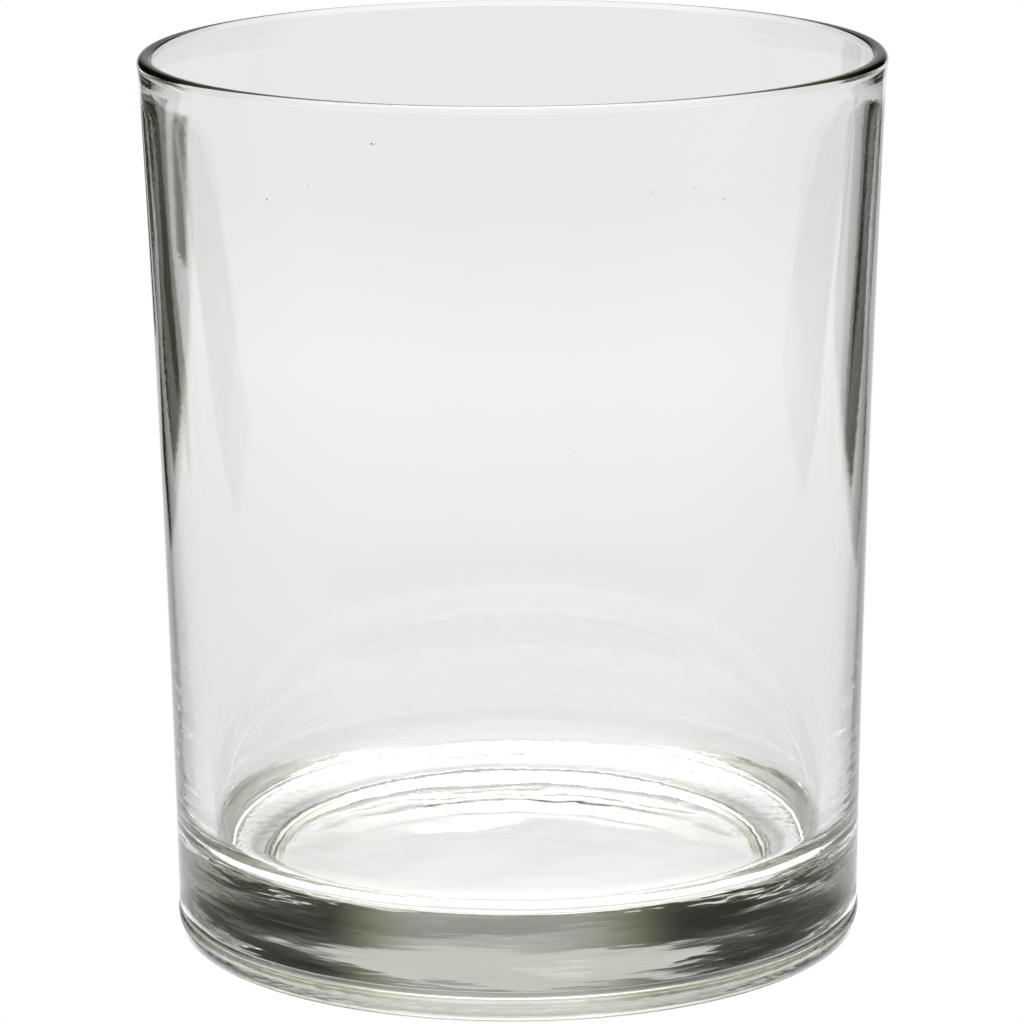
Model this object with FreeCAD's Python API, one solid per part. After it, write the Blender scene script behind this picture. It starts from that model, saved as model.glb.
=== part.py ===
import FreeCAD, Part
import math
import os

from FreeCAD import Vector

# A candle tumbler pressed in one piece of glass, in millimetres. The origin is the centre of its
# base on the table, and +Z runs up the axis. Every surface is turned about that axis, so the whole
# jar is one outline of radius and height, spun through a full turn.

# Overall size, which the rest follows.
height = 96.5
rim_diameter = 80.0

# Rim: a full round lip on a low bead that stands a little proud of the wall.
lip_thickness = 1.75
bead_height = 2.5
bead_step = 0.22

# Outer wall: it leans outwards, and flares a little more towards the rim.
wall_bottom_radius = 37.3
wall_middle = (38.22, 48.3)

# Foot: a short band under a fine groove, with a rounded heel.
foot_radius = 37.45
foot_height = 2.2
groove_width = 1.0
groove_depth = 0.2
heel_radius = 1.0

# Underside: a flat bearing ring round a shallow dome, whose edge rolls over down to the ring.
bearing_inner_radius = 28.0
dome_radius = 340.0
dome_edge = 25.5
roll_radius = 5.0

# Cavity: a wall that thickens downwards to a rounded corner and a flat floor. The two drafts are
# how far the wall leans from upright where it leaves the corner and where it meets the lip.
floor_height = 10.5
corner_radius = 4.0
cavity_bottom_radius = 33.8
cavity_middle = (35.75, 50.0)
corner_draft = 1.8
lip_draft = 3.7

# Where the edges of the outline meet, as radius and height.
lip_centre = (rim_diameter / 2 - lip_thickness / 2, height - lip_thickness / 2)
bead_bottom = (rim_diameter / 2 - bead_step, height - bead_height)
heel_centre = (foot_radius - heel_radius, heel_radius)
wall_bottom = (wall_bottom_radius, foot_height + groove_width)
corner_centre = (cavity_bottom_radius - corner_radius, floor_height + corner_radius)

# The dome's slope where it meets the roll, the roll's slope where it meets the ring, and the
# height that the two of them reach.
dome_turn = math.atan(dome_edge / dome_radius)
roll_turn = math.asin(math.sin(dome_turn) + (bearing_inner_radius - dome_edge) / roll_radius)
roll_rise = roll_radius * (math.cos(dome_turn) - math.cos(roll_turn))
roll_centre = (dome_edge - roll_radius * math.sin(dome_turn), -roll_radius * math.cos(roll_turn))
dome_rise = roll_rise + dome_edge ** 2 / (2 * dome_radius)


def line(start, end):
    return Part.LineSegment(Vector(start[0], 0, start[1]), Vector(end[0], 0, end[1])).toShape()


def arc(start, middle, end):
    points = [Vector(radius, 0, level) for radius, level in (start, middle, end)]
    return Part.Arc(*points).toShape()


def flare(start, middle, end):
    """A long gentle bend, a parabola that passes middle half way along."""
    pull = [2 * middle[i] - (start[i] + end[i]) / 2 for i in range(2)]
    bend = Part.BezierCurve()
    bend.setPoles([Vector(radius, 0, level) for radius, level in (start, pull, end)])
    return bend.toShape()


def on_circle(centre, radius, angle):
    """The point of a circle in the outline at an angle in degrees, counted from straight out."""
    turn = math.radians(angle)
    return (centre[0] + radius * math.cos(turn), centre[1] + radius * math.sin(turn))


def round_corner(centre, radius, first_angle, last_angle):
    angles = (first_angle, (first_angle + last_angle) / 2, last_angle)
    return arc(*[on_circle(centre, radius, angle) for angle in angles])


def upright_arc(top, bottom):
    """An arc that starts upright at top and curves in to bottom."""
    inwards = top[0] - bottom[0]
    drop = top[1] - bottom[1]
    radius = (inwards ** 2 + drop ** 2) / (2 * inwards)
    turn = math.degrees(math.asin(drop / radius))
    return round_corner((top[0] - radius, top[1]), radius, -turn, 0)


def underside_edges():
    half_way = dome_edge / 2
    half_level = dome_rise - half_way ** 2 / (2 * dome_radius)
    dome = flare((0, dome_rise), (half_way, half_level), (dome_edge, roll_rise))
    roll_angles = (90 - math.degrees(dome_turn), 90 - math.degrees(roll_turn))
    roll = round_corner(roll_centre, roll_radius, *roll_angles)
    bearing_ring = line((bearing_inner_radius, 0), (heel_centre[0], 0))
    return [dome, roll, bearing_ring]


def foot_edges():
    heel = round_corner(heel_centre, heel_radius, -90, 0)
    band = line((foot_radius, heel_radius), (foot_radius, foot_height))
    groove_middle = (wall_bottom_radius - groove_depth, foot_height + groove_width / 2)
    groove = arc((foot_radius, foot_height), groove_middle, wall_bottom)
    return [heel, band, groove]


def wall_and_rim_edges():
    wall = flare(wall_bottom, wall_middle, bead_bottom)
    bead = upright_arc((rim_diameter / 2, lip_centre[1]), bead_bottom)
    lip = round_corner(lip_centre, lip_thickness / 2, 0, 180 + lip_draft)
    return [wall, bead, lip]


def cavity_edges():
    cavity_top = on_circle(lip_centre, lip_thickness / 2, 180 + lip_draft)
    cavity_bottom = on_circle(corner_centre, corner_radius, -corner_draft)
    wall = flare(cavity_top, cavity_middle, cavity_bottom)
    corner = round_corner(corner_centre, corner_radius, -corner_draft, -90)
    floor = line((corner_centre[0], floor_height), (0, floor_height))
    return [wall, corner, floor]


def glass_jar():
    axis = line((0, floor_height), (0, dome_rise))
    edges = underside_edges() + foot_edges() + wall_and_rim_edges() + cavity_edges() + [axis]
    outline = Part.Wire(Part.__sortEdges__(edges))
    return Part.Face(outline).revolve(Vector(0, 0, 0), Vector(0, 0, 1), 360)


def save(name, shape):
    box = shape.optimalBoundingBox()
    print(f"{name}: {box.XLength:.2f} x {box.YLength:.2f} x {box.ZLength:.2f} mm,"
          f" {shape.Volume / 1000:.2f} cm3, valid {shape.isValid()}")
    shape.exportStep(f"parts/{name}.step")


os.makedirs("parts", exist_ok=True)
save("glass_jar", glass_jar())
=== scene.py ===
import bpy
import math
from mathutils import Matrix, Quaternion, Vector


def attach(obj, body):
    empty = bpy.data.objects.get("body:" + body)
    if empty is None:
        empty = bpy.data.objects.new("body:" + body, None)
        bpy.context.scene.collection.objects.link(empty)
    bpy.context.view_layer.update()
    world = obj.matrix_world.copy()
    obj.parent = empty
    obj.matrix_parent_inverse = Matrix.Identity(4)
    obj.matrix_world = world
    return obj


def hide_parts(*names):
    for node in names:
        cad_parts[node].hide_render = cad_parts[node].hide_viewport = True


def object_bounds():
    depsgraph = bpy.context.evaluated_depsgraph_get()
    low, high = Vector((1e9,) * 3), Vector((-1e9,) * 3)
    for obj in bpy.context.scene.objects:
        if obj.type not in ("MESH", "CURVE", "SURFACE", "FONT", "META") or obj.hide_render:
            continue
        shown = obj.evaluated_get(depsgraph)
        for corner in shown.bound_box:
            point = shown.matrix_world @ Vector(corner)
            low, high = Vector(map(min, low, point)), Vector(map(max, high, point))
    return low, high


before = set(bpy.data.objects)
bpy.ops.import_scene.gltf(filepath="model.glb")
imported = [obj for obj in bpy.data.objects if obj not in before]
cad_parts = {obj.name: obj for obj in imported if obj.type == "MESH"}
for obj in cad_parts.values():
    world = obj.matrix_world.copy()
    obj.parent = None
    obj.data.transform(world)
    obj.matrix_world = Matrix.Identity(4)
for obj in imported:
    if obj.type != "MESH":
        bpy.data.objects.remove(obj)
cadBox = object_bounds()
jarHeight = cadBox[1].z
rimRadius = cadBox[1].x
mm = 0.001
print("frame loaded, jar", round(rimRadius * 2 / mm, 1), "x", round(jarHeight / mm, 1), "mm")


# the outline of the glass, as radius and height in mm
jarShape = {
    "turnSteps": 480,  # slices round the axis
    "lipThickness": 1.75,
    "beadHeight": 2.5,
    "beadStep": 0.22,
    "wallBottomRadius": 37.3,
    "wallMiddle": (38.22, 48.3),
    "footRadius": 37.45,
    "footHeight": 2.2,
    "grooveWidth": 1.0,
    "grooveDepth": 0.2,
    "heelRadius": 1.0,
    "bearingInnerRadius": 28.0,
    "domeRadius": 340.0,  # the underside is a shallow dome
    "domeEdge": 25.5,  # where it rolls over, down to the bearing ring
    "rollRadius": 5.0,
    "floorHeight": 10.5,
    "cornerRadius": 4.0,
    "cavityBottomRadius": 33.8,
    "cavityMiddle": (35.75, 50.0),
    "cornerDraft": 1.8,
    "lipDraft": 3.7,
}


def arcPoints(centre, radius, firstAngle, lastAngle, steps):
    points = []
    for i in range(steps + 1):
        turn = math.radians(firstAngle + (lastAngle - firstAngle) * i / steps)
        points.append((centre[0] + radius * math.cos(turn), centre[1] + radius * math.sin(turn)))
    return points


def flarePoints(start, middle, end, steps):
    # a parabola that passes middle half way along
    pull = [2 * middle[i] - (start[i] + end[i]) / 2 for i in range(2)]
    points = []
    for i in range(steps + 1):
        t = i / steps
        points.append(tuple((1 - t) ** 2 * start[k] + 2 * t * (1 - t) * pull[k] + t * t * end[k]
                            for k in range(2)))
    return points


def linePoints(start, end, steps):
    return [tuple(start[k] + (end[k] - start[k]) * i / steps for k in range(2))
            for i in range(steps + 1)]


def jarOutline():
    s = jarShape
    high = jarHeight / mm
    rim = rimRadius / mm
    lip = s["lipThickness"] / 2
    lipCentre = (rim - lip, high - lip)
    beadBottom = (rim - s["beadStep"], high - s["beadHeight"])
    wallBottom = (s["wallBottomRadius"], s["footHeight"] + s["grooveWidth"])
    cornerCentre = (s["cavityBottomRadius"] - s["cornerRadius"], s["floorHeight"] + s["cornerRadius"])
    edge = s["domeEdge"]
    roll = s["rollRadius"]
    domeTurn = math.atan(edge / s["domeRadius"])
    rollTurn = math.asin(math.sin(domeTurn) + (s["bearingInnerRadius"] - edge) / roll)
    rollRise = roll * (math.cos(domeTurn) - math.cos(rollTurn))
    rollCentre = (edge - roll * math.sin(domeTurn), -roll * math.cos(rollTurn))
    domeRise = rollRise + edge ** 2 / (2 * s["domeRadius"])
    halfLevel = domeRise - edge ** 2 / (8 * s["domeRadius"])
    points = flarePoints((0, domeRise), (edge / 2, halfLevel), (edge, rollRise), 22)
    rollAngles = (90 - math.degrees(domeTurn), 90 - math.degrees(rollTurn))
    points += arcPoints(rollCentre, roll, *rollAngles, 6)[1:]
    points += linePoints(points[-1], (s["footRadius"] - s["heelRadius"], 0), 24)[1:]
    points += arcPoints((s["footRadius"] - s["heelRadius"], s["heelRadius"]), s["heelRadius"], -90, 0, 7)[1:]
    points += linePoints(points[-1], (s["footRadius"], s["footHeight"]), 2)[1:]
    grooveMiddle = (s["wallBottomRadius"] - s["grooveDepth"], s["footHeight"] + s["grooveWidth"] / 2)
    points += flarePoints(points[-1], grooveMiddle, wallBottom, 6)[1:]
    points += flarePoints(wallBottom, s["wallMiddle"], beadBottom, 28)[1:]
    points += linePoints(beadBottom, (rim, lipCentre[1]), 5)[1:]
    points += arcPoints(lipCentre, lip, 0, 180 + s["lipDraft"], 20)[1:]
    cavityBottom = arcPoints(cornerCentre, s["cornerRadius"], -s["cornerDraft"], 0, 1)[0]
    points += flarePoints(points[-1], s["cavityMiddle"], cavityBottom, 30)[1:]
    points += arcPoints(cornerCentre, s["cornerRadius"], -s["cornerDraft"], -90, 16)[1:]
    points += linePoints(points[-1], (0, s["floorHeight"]), 26)[1:]
    return [(radius * mm, level * mm) for radius, level in points]


def turnOutline(name, outline, steps):
    # one corner is pulled from point to point along the outline, which is then spun round the axis
    bpy.ops.object.select_all(action="DESELECT")
    bpy.ops.mesh.primitive_plane_add(size=0.001, location=(0, 0, 0))
    piece = bpy.context.object
    piece.name = name
    piece.data.name = name
    bpy.ops.object.mode_set(mode="EDIT")
    bpy.ops.mesh.select_all(action="SELECT")
    bpy.ops.mesh.merge(type="CENTER")
    place = Vector((outline[0][0], 0, outline[0][1]))
    bpy.ops.transform.translate(value=place)
    for radius, level in outline[1:]:
        step = Vector((radius, 0, level)) - place
        bpy.ops.mesh.extrude_region_move(TRANSFORM_OT_translate={"value": step})
        place += step
    bpy.ops.mesh.select_all(action="SELECT")
    bpy.ops.mesh.spin(steps=steps, angle=math.tau, center=(0, 0, 0), axis=(0, 0, 1))
    bpy.ops.mesh.select_all(action="SELECT")
    bpy.ops.mesh.remove_doubles(threshold=0.000001)
    bpy.ops.mesh.normals_make_consistent(inside=False)
    bpy.ops.object.mode_set(mode="OBJECT")
    bpy.ops.object.shade_smooth()
    return piece


# low waves and dimples left in the pressed glass, sizes in mm
waves = {
    "floor": {"scale": 8.0, "height": 0.12},
    "dome": {"scale": 10.0, "height": 0.20},
    "stipple": {"scale": 0.9, "height": 0.06},
    "near": 0.1,  # how close to its level a corner of the mesh counts as part of a face
}


def pressWaves(piece, name, insideOf):
    # a Displace modifier lifts the chosen part of the surface by a noise
    look = waves[name]
    group = piece.vertex_groups.new(name=name)
    group.add([v.index for v in piece.data.vertices if insideOf(v.co)], 1, "REPLACE")
    noise = bpy.data.textures.new(name, "CLOUDS")
    noise.noise_scale = look["scale"] * mm
    noise.noise_depth = 1
    bpy.context.view_layer.objects.active = piece
    push = piece.modifiers.new(name, "DISPLACE")
    push.texture = noise
    push.texture_coords = "LOCAL"
    push.direction = "Z"
    push.mid_level = 0.0
    push.strength = look["height"] * mm
    push.vertex_group = name
    bpy.ops.object.modifier_apply(modifier=name)
    piece.vertex_groups.clear()


# seeds of air caught in the wall: turn in degrees from straight ahead, height and length in mm
seeds = {
    "under": 1.3,  # below the outer face
    "squash": 0.6,  # thickness over length
    "tilt": 0.5,  # turned, in radians
    "segments": 12,
    "rings": 8,
    "places": [(-21, 92.4, 0.5), (-40, 85.7, 0.3), (-32, 87.6, 0.25), (-25.5, 89.2, 0.2),
               (21, 87.3, 0.3), (28, 87.3, 0.2), (33, 85.9, 0.3), (9, 61.0, 0.2), (-14, 47.0, 0.2),
               (31, 40.0, 0.25), (150, 80.0, 0.3), (205, 66.0, 0.25)],
}


def addSeeds(jar):
    # each is a small hollow, its faces looking inwards
    made = []
    wallLean = (rimRadius / mm - jarShape["wallBottomRadius"]) / (jarHeight / mm)
    for turn, level, length in seeds["places"]:
        turn = math.radians(turn)
        radius = jarShape["wallBottomRadius"] + wallLean * level - seeds["under"]
        place = (radius * math.sin(turn) * mm, -radius * math.cos(turn) * mm, level * mm)
        bpy.ops.object.select_all(action="DESELECT")
        bpy.ops.mesh.primitive_uv_sphere_add(segments=seeds["segments"], ring_count=seeds["rings"],
                                             radius=length / 2 * mm, location=place,
                                             rotation=(seeds["tilt"], 0, turn))
        seed = bpy.context.object
        seed.scale = (1.0, seeds["squash"], seeds["squash"])
        bpy.ops.object.transform_apply(location=True, rotation=True, scale=True)
        bpy.ops.object.mode_set(mode="EDIT")
        bpy.ops.mesh.select_all(action="SELECT")
        bpy.ops.mesh.flip_normals()
        bpy.ops.object.mode_set(mode="OBJECT")
        bpy.ops.object.shade_smooth()
        made.append(seed)
    bpy.ops.object.select_all(action="DESELECT")
    for seed in made:
        seed.select_set(True)
    jar.select_set(True)
    bpy.context.view_layer.objects.active = jar
    bpy.ops.object.join()
    return jar


def makeJar():
    piece = turnOutline("jar_glass", jarOutline(), jarShape["turnSteps"])
    floorLevel = jarShape["floorHeight"] * mm
    flatFloor = (jarShape["cavityBottomRadius"] - jarShape["cornerRadius"]) * mm
    domeEnd = jarShape["bearingInnerRadius"] * mm
    ringEnd = (jarShape["footRadius"] - jarShape["heelRadius"]) * mm
    near = waves["near"] * mm
    pressWaves(piece, "floor", lambda p: abs(p.z - floorLevel) < near and p.xy.length < flatFloor)
    pressWaves(piece, "dome", lambda p: p.z < floorLevel / 2 and p.xy.length < domeEnd)
    pressWaves(piece, "stipple", lambda p: p.z < near and domeEnd - near < p.xy.length < ringEnd)
    piece = addSeeds(piece)
    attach(piece, "root")
    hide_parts("glass_jar")
    print("jar turned,", len(piece.data.polygons), "faces")
    return piece


class Socket:
    # a node's output; arithmetic on it adds Math nodes to its tree
    def __init__(self, tree, output):
        self.tree = tree
        self.output = output

    def node(self, kind, settings, inputs, output=0):
        made = self.tree.nodes.new(kind)
        for name, value in settings.items():
            setattr(made, name, value)
        for key, value in inputs.items():
            if isinstance(value, Socket):
                self.tree.links.new(value.output, made.inputs[key])
            else:
                made.inputs[key].default_value = value
        return Socket(self.tree, made.outputs[output])

    def maths(self, operation, *values):
        return self.node("ShaderNodeMath", {"operation": operation}, dict(enumerate(values)))

    def __add__(self, other):
        return self.maths("ADD", self, other)

    def __radd__(self, other):
        return self.maths("ADD", other, self)

    def __sub__(self, other):
        return self.maths("SUBTRACT", self, other)

    def __rsub__(self, other):
        return self.maths("SUBTRACT", other, self)

    def __mul__(self, other):
        return self.maths("MULTIPLY", self, other)

    def __rmul__(self, other):
        return self.maths("MULTIPLY", other, self)

    def __truediv__(self, other):
        return self.maths("DIVIDE", self, other)

    def __neg__(self):
        return self.maths("MULTIPLY", self, -1)

    def larger(self, other):
        return self.maths("MAXIMUM", self, other)

    def size(self):
        return self.maths("ABSOLUTE", self)

    def root(self):
        return self.maths("SQRT", self)

    def rise(self, low, high):
        # 0 below low, 1 above high, with a soft step between
        return self.node("ShaderNodeMapRange", {"interpolation_type": "SMOOTHSTEP"},
                         {"Value": self, "From Min": low, "From Max": high})

    def between(self, levels, values):
        # straight lines from value to value, flat beyond the ends
        total = values[0]
        for i in range(1, len(levels)):
            part = self.node("ShaderNodeMapRange", {}, {
                "Value": self, "From Min": levels[i - 1], "From Max": levels[i]})
            total = total + part * (values[i] - values[i - 1])
        return total


# clear soda glass with a faint olive cast, sizes in mm
glassLook = {
    "ior": 1.52,
    "tint": (0.57, 0.58, 0.46),
    "density": 10.0,
    "wallLean": 0.023,  # how far the outer wall leans out for each mm up
    "innerFrom": (-1.3, -0.9),  # from the outer wall inwards, where the cavity's wall starts
    "outerFrom": (-0.9, -0.5),  # and where the outer face ends
    "aboveFloor": (9, 14),
    "aboveFoot": (3.0, 3.6),
    "baseTop": (9, 22),  # where the streaks fade, up the wall
    "ringFrom": (26.5, 28.5),
    "ringTop": (0.3, 0.6),
    "smudge": (9.0, 0.012),  # size, added roughness
    "smudgeFrom": (0.45, 0.75),  # how much of the noise shows as smudge
    "smudgeAbove": (0.5, 2),
    "stippleRough": 0.12,
    "baseRough": (14.0, 8, 0.04, 0.16),  # outer face of the base: size, flatness, least and most
    "baseRoughFrom": (0.35, 0.65),
    "baseRoughTop": (9.5, 11.5),
    "cloud": (30.0, 0.985, 0.015),  # size, tone, change of tone
    "ripple": (1.6, 0.6, 0.0025),  # inner wall: around, up, depth
    "streak": (24.0, 3.0, 0.13),  # outer face of the base: around, up, depth
    "brush": (9.0, 1.0, 0.04),  # finer streaks there
    "grain": (0.35, 0.006),  # bearing ring and the roll beside it: size, depth
}


def noiseOn(place, around, up, detail):
    # a noise with patches of this size in mm
    patch = (around * mm, around * mm, up * mm)
    spot = place.node("ShaderNodeVectorMath", {"operation": "DIVIDE"}, {0: place, 1: patch})
    return place.node("ShaderNodeTexNoise", {"noise_dimensions": "3D"},
                      {"Vector": spot, "Scale": 1.0, "Detail": detail}, "Fac")


def glassMaterial():
    look = glassLook
    material = bpy.data.materials.new("clear_glass")
    material.use_nodes = True
    tree = Socket(material.node_tree, None)
    nodes = material.node_tree.nodes
    links = material.node_tree.links
    place = tree.node("ShaderNodeTexCoord", {}, {}, "Object")
    across = tree.node("ShaderNodeSeparateXYZ", {}, {"Vector": place}, "X")
    along = tree.node("ShaderNodeSeparateXYZ", {}, {"Vector": place}, "Y")
    level = tree.node("ShaderNodeSeparateXYZ", {}, {"Vector": place}, "Z") / mm
    radius = (across * across + along * along).root() / mm
    beyondWall = radius - (jarShape["wallBottomRadius"] + level * look["wallLean"])
    inner = (1 - beyondWall.rise(*look["innerFrom"])) * level.rise(*look["aboveFloor"])
    outer = beyondWall.rise(*look["outerFrom"]) * level.rise(*look["aboveFoot"])
    low = 1 - level.rise(*look["baseTop"])
    ring = radius.rise(*look["ringFrom"]) * (1 - level.rise(*look["ringTop"]))

    around, up, depth = look["ripple"]
    height = inner * noiseOn(place, around, up, 2) * (depth * mm)
    for name in ("streak", "brush"):
        around, up, depth = look[name]
        height = height + outer * low * noiseOn(place, around, up, 2) * (depth * mm)
    size, depth = look["grain"]
    height = height + ring * noiseOn(place, size, size, 1) * (depth * mm)
    bump = tree.node("ShaderNodeBump", {}, {"Strength": 1.0, "Distance": 1.0, "Height": height})

    size, amount = look["smudge"]
    smudge = noiseOn(place, size, size, 3).rise(*look["smudgeFrom"]) * amount
    smudge = smudge * level.rise(*look["smudgeAbove"])
    size, flatness, least, most = look["baseRough"]
    worn = least + noiseOn(place, size, size / flatness, 2).rise(*look["baseRoughFrom"]) * (most - least)
    base = outer * (1 - level.rise(*look["baseRoughTop"]))
    rough = smudge + ring * look["stippleRough"] + base * worn
    size, tone, change = look["cloud"]
    shade = tone + noiseOn(place, size, size, 2) * change
    paleGlass = tree.node("ShaderNodeCombineColor", {}, {"Red": shade, "Green": shade, "Blue": shade})

    shader = nodes["Principled BSDF"]
    links.new(paleGlass.output, shader.inputs["Base Color"])
    links.new(rough.output, shader.inputs["Roughness"])
    links.new(bump.output, shader.inputs["Normal"])
    shader.inputs["Transmission Weight"].default_value = 1
    shader.inputs["IOR"].default_value = look["ior"]
    inside = nodes.new("ShaderNodeVolumeAbsorption")
    inside.inputs["Color"].default_value = (*look["tint"], 1)
    inside.inputs["Density"].default_value = look["density"]
    links.new(inside.outputs["Volume"], nodes["Material Output"].inputs["Volume"])
    print("glass mixed")
    return material


# glow of the studio; lifts and turns in degrees, turns counted from straight behind the jar
studio = {
    "paperSize": 12,  # m
    "paperDrop": 0.00002,  # m below the jar, so that the two never share a face
    "paperAlong": (-80, 40, 150, 260, 400),  # mm behind the jar
    "paperGlow": (1.01, 0.81, 0.84, 0.90, 0.82),
    "footAlong": (0, 20, 26, 29.5, 31, 33, 36.5, 38.6, 39.6),  # mm from the axis
    "footGlow": (1.08, 1.15, 1.2, 0.75, 1.35, 1.5, 2.2, 2.2, 0.85),  # light gathered under the foot
    "shadow": (38, 40, 66, 110, 0.22),  # shaded paper in front: from, full, until, gone, glow
    "shadowBehind": (-10, 15),  # mm behind the axis, where the shade ends
    "farGlow": 0.81,  # paper at the horizon
    "farLift": (0, 5),
    "lowGlow": 0.38,
    "highGlow": 1.73,  # the big soft light overhead
    "highLift": (11, 47),
    "zenithGlow": 2.4,
    "zenithLift": (40, 60),
    "frontGlow": 0.92,
    "frontTurn": (60, 110),
    "frontLift": (30, 60),
    "sideLeft": (10.0, 94.7),
    "sideRight": (14.6, 96.7),
    "sideNear": (-6, 10),  # how softly a dark side starts
    "sideFar": (-10, 15),  # and ends
    "sideGlow": 0.012,
    "sideLift": (18, 65),
    "oliveCast": 0.4,  # how much blue the dark parts lose
}

# how softly the strips of painted shade end, in mm: at the sides, near and far
paintedShadeEdges = {"inner": 6, "outer": 10, "near": 8, "far": 20}

# strips of painted shade on the paper, standing in for dark cards beside the jar, in mm: how far behind the
# jar, inner edge there, width there
paintedShadeStrips = {
    "left": {"side": -1, "behind": (150, 218, 300, 794), "inner": (109, 113, 160, 200),
             "width": (180, 260, 260, 296), "glow": 0.03},
    "right": {"side": 1, "behind": (130, 218, 300, 520), "inner": (116, 133, 170, 205),
              "width": (110, 190, 230, 240), "glow": 0.02},
    "far": {"side": -1, "behind": (310, 400, 560), "inner": (111, 117, 126), "width": (24, 27, 26),
            "glow": 0.03},
}


def startTree(holder, outputKind):
    holder.use_nodes = True
    tree = holder.node_tree
    tree.nodes.clear()
    return Socket(tree, None), tree.nodes.new(outputKind)


def whiteToCamera(tree, glow, dark):
    # the backdrop itself is clean white; only the glass sees the glow of the studio
    seen = tree.node("ShaderNodeLightPath", {}, {}, "Is Camera Ray")
    blue = glow * (1 - studio["oliveCast"] * dark)
    colour = {"Red": glow, "Green": glow, "Blue": blue}
    for name, part in colour.items():
        colour[name] = seen + part * (1 - seen)
    return tree.node("ShaderNodeCombineColor", {}, colour)


def paperGlow(tree):
    place = tree.node("ShaderNodeTexCoord", {}, {}, "Object")
    across = tree.node("ShaderNodeSeparateXYZ", {}, {"Vector": place}, "X") / mm
    along = tree.node("ShaderNodeSeparateXYZ", {}, {"Vector": place}, "Y") / mm
    radius = (across * across + along * along).root()
    glow = along.between(studio["paperAlong"], studio["paperGlow"])
    start, full, until, gone, shade = studio["shadow"]
    shaded = radius.rise(start, full) * (1 - radius.rise(until, gone))
    shaded = shaded * (1 - along.rise(*studio["shadowBehind"]))
    glow = glow * (1 - shaded) + shade * shaded
    foot = 1 - radius.rise(*studio["footAlong"][-2:])
    glow = glow * (1 - foot) + radius.between(studio["footAlong"], studio["footGlow"]) * foot
    covered = 0.0
    soft = paintedShadeEdges
    # painted shade: each strip turns the paper's glow dark where a dark card beside the jar would block the
    # light
    for strip in paintedShadeStrips.values():
        behind = strip["behind"]
        pastInner = across * strip["side"] - along.between(behind, strip["inner"])
        pastOuter = pastInner - along.between(behind, strip["width"])
        mask = pastInner.rise(-soft["inner"], soft["inner"])
        mask = mask * (1 - pastOuter.rise(-soft["outer"], soft["outer"]))
        mask = mask * along.rise(behind[0] - soft["near"], behind[0] + soft["near"])
        mask = mask * (1 - along.rise(behind[-1] - soft["far"], behind[-1] + soft["far"]))
        glow = glow * (1 - mask) + strip["glow"] * mask
        covered = mask.larger(covered)
    return whiteToCamera(tree, glow, covered)


def addFloor():
    bpy.ops.object.select_all(action="DESELECT")
    bpy.ops.mesh.primitive_plane_add(size=studio["paperSize"], location=(0, 0, -studio["paperDrop"]))
    floor = bpy.context.object
    floor.name = "floor"
    material = bpy.data.materials.new("paper")
    tree, end = startTree(material, "ShaderNodeOutputMaterial")
    light = tree.node("ShaderNodeEmission", {}, {"Color": paperGlow(tree)})
    tree.tree.links.new(light.output, end.inputs["Surface"])
    floor.data.materials.append(material)


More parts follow.
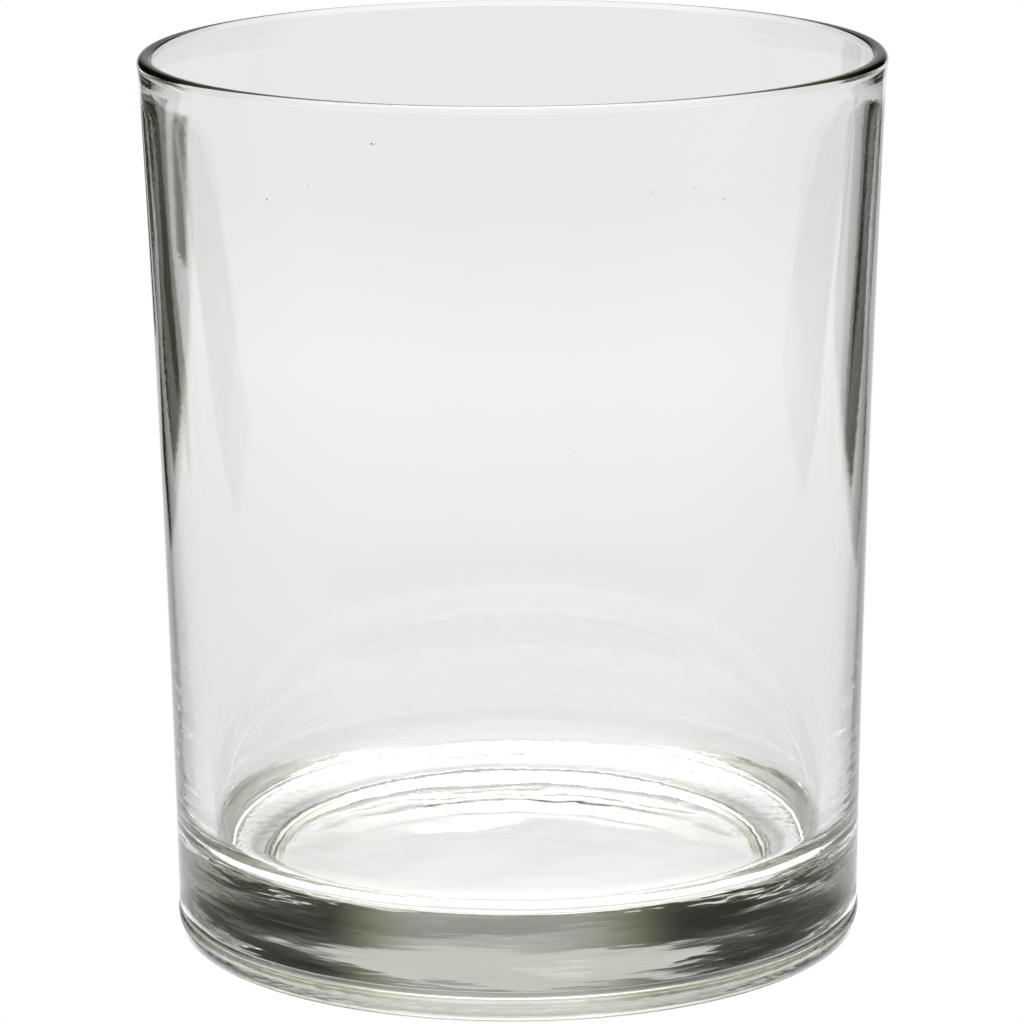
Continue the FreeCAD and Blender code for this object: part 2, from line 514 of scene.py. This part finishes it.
def skyGlow(tree):
    s = studio
    direction = tree.node("ShaderNodeTexCoord", {}, {}, "Generated")
    across = tree.node("ShaderNodeSeparateXYZ", {}, {"Vector": direction}, "X")
    along = tree.node("ShaderNodeSeparateXYZ", {}, {"Vector": direction}, "Y")
    up = tree.node("ShaderNodeSeparateXYZ", {}, {"Vector": direction}, "Z")
    heading = across.maths("ARCTAN2", across, along) * (180 / math.pi)
    lift = up.maths("ARCSINE", up) * (180 / math.pi)
    top = s["highGlow"] + (s["zenithGlow"] - s["highGlow"]) * lift.rise(*s["zenithLift"])
    low = s["farGlow"] + (s["lowGlow"] - s["farGlow"]) * lift.rise(*s["farLift"])
    back = low + (top - low) * lift.rise(*s["highLift"])
    front = s["frontGlow"] + (top - s["frontGlow"]) * lift.rise(*s["frontLift"])
    share = heading.size().rise(*s["frontTurn"])
    glow = back * (1 - share) + front * share
    under = 1 - lift.rise(*s["sideLift"])
    covered = 0.0
    for turn, (start, stop) in ((-heading, s["sideLeft"]), (heading, s["sideRight"])):
        started = turn.rise(start + s["sideNear"][0], start + s["sideNear"][1])
        ended = turn.rise(stop + s["sideFar"][0], stop + s["sideFar"][1])
        side = started * (1 - ended) * under
        glow = glow * (1 - side) + s["sideGlow"] * side
        covered = side.larger(covered)
    return whiteToCamera(tree, glow, covered)


def addWorld():
    world = bpy.data.worlds.new("studio")
    bpy.context.scene.world = world
    tree, end = startTree(world, "ShaderNodeOutputWorld")
    light = tree.node("ShaderNodeBackground", {}, {"Color": skyGlow(tree), "Strength": 1.0})
    tree.tree.links.new(light.output, end.inputs["Surface"])


# the camera stands straight ahead and looks a little down; its turns are in degrees
view = {
    "distance": 14.0,  # in rim radii, from the axis
    "height": 4.440,  # in rim radii, above the table
    "pitch": 13.234,
    "roll": -0.408,
    "yaw": 0.039,
    "lens": 186.05,  # mm
    "sensor": 36,
    "clip": (0.01, 50),
    "bounces": 32,
    "glossyBounces": 16,
}


def addCamera():
    data = bpy.data.cameras.new("camera")
    data.lens = view["lens"]
    data.sensor_width = view["sensor"]
    data.clip_start, data.clip_end = view["clip"]
    camera = bpy.data.objects.new("camera", data)
    bpy.context.scene.collection.objects.link(camera)
    camera.location = (0, -view["distance"] * rimRadius, view["height"] * rimRadius)
    camera.rotation_mode = "QUATERNION"
    turn = Quaternion((0, 0, 1), math.radians(view["yaw"]))
    tilt = Quaternion((1, 0, 0), math.radians(90 - view["pitch"]))
    roll = Quaternion((0, 0, 1), math.radians(view["roll"]))
    camera.rotation_quaternion = turn @ tilt @ roll
    bpy.context.scene.camera = camera


jar = makeJar()
jar.data.materials.append(glassMaterial())
addFloor()
addWorld()
addCamera()
bpy.context.scene.view_settings.view_transform = "Standard"
bpy.context.scene.cycles.max_bounces = view["bounces"]
bpy.context.scene.cycles.transmission_bounces = view["bounces"]
bpy.context.scene.cycles.glossy_bounces = view["glossyBounces"]
print("studio lit, camera placed")
